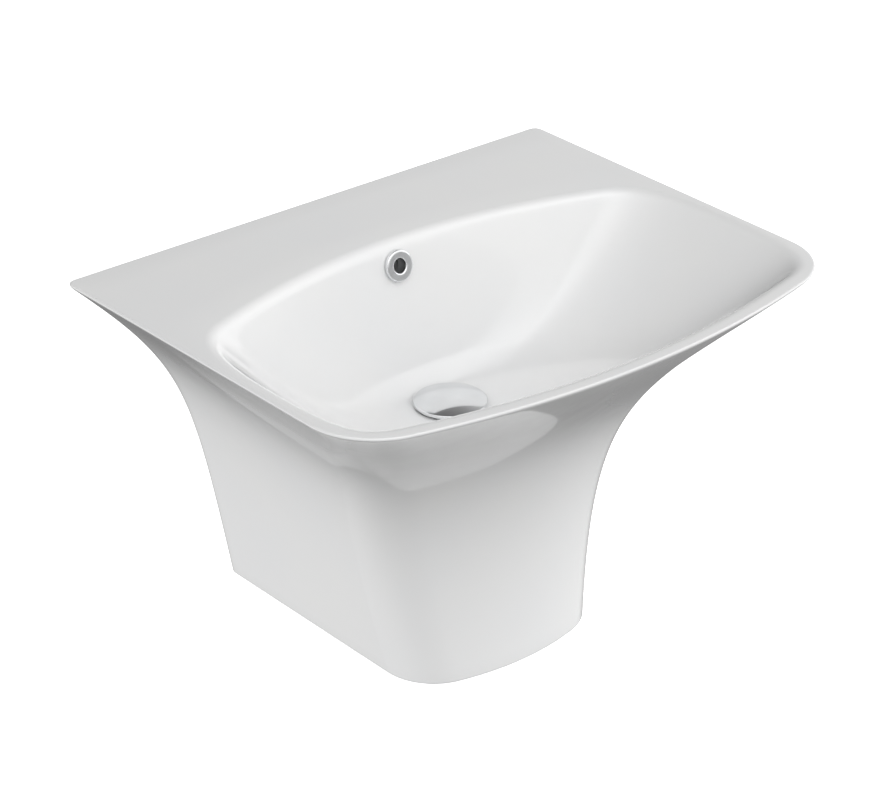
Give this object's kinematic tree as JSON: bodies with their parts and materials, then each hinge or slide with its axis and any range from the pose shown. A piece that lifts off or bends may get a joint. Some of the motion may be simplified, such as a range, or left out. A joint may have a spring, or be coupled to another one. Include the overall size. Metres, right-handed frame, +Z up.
{
  "type": "wall-hung washbasin with half pedestal",
  "caption": "Wall-hung ceramic washbasin with a built-in half pedestal, round overflow, push-to-close domed plug, bottle trap and wall bolts.",
  "frame": {"origin": "on the wall face of the ceramic, on the centreline, halfway between the two fixing bolts", "axes": "+X along the wall to the user's right seen from the front, +Y into the wall, +Z up; the basin stands out along -Y"},
  "size_m": [0.56, 0.512, 0.363],
  "materials": {
    "glazed_ceramic": "glossy white glaze",
    "chrome": "polished chrome plate",
    "brass": "plain turned brass",
    "zinc_steel": "bright zinc plate",
    "rubber": "matt black rubber",
    "white_plastic": "satin white moulded plastic"
  },
  "bodies": {
    "basin": {"basin_body": "glazed_ceramic", "overflow_ring": "chrome", "overflow_sleeve": "rubber", "waste_body": "chrome", "waste_seal": "rubber", "waste_taper_washer": "rubber", "waste_slip_washer": "white_plastic", "waste_locknut": "brass", "cartridge_body": "white_plastic", "cartridge_spring": "zinc_steel", "tail_washer": "rubber", "tail_nut": "white_plastic", "trap_dip_tube": "white_plastic", "trap_inlet_nut": "white_plastic", "trap_inlet_seal": "rubber", "trap_body": "white_plastic", "trap_outlet_nut": "white_plastic", "trap_outlet_seal": "rubber", "wall_pipe": "white_plastic", "wall_rosette": "white_plastic", "fixing_stud_left": "zinc_steel", "fixing_stud_right": "zinc_steel", "fixing_sleeve_left": "white_plastic", "fixing_sleeve_right": "white_plastic", "fixing_washer_left": "zinc_steel", "fixing_washer_right": "zinc_steel", "fixing_nut_left": "zinc_steel", "fixing_nut_right": "zinc_steel"},
    "plug": {"plug_cap": "chrome", "plug_seal": "rubber", "plug_stem": "brass"},
    "cup_seal": {"trap_cup_seal": "rubber"},
    "cup": {"trap_cup": "white_plastic"}
  },
  "joints": [
    {"name": "plug_lift", "type": "slide", "parent": "basin", "child": "plug", "axis": [0, 0, 1], "range_m": [0, 0.009], "deforming": ["cartridge_spring"]},
    {"name": "cup_drop", "type": "slide", "parent": "basin", "child": "cup_seal", "axis": [0, 0, -1], "range_m": [0, 0.0076]},
    {"name": "cup_turn", "type": "hinge", "parent": "cup_seal", "child": "cup", "pos_m": [0, -0.201, -0.24], "axis": [0, 0, -1], "range_deg": [0, 1080]}
  ],
  "couplings": [
    {"joint": "cup_drop", "follows": "cup_turn", "m_per_rad": 0.00039789}
  ]
}
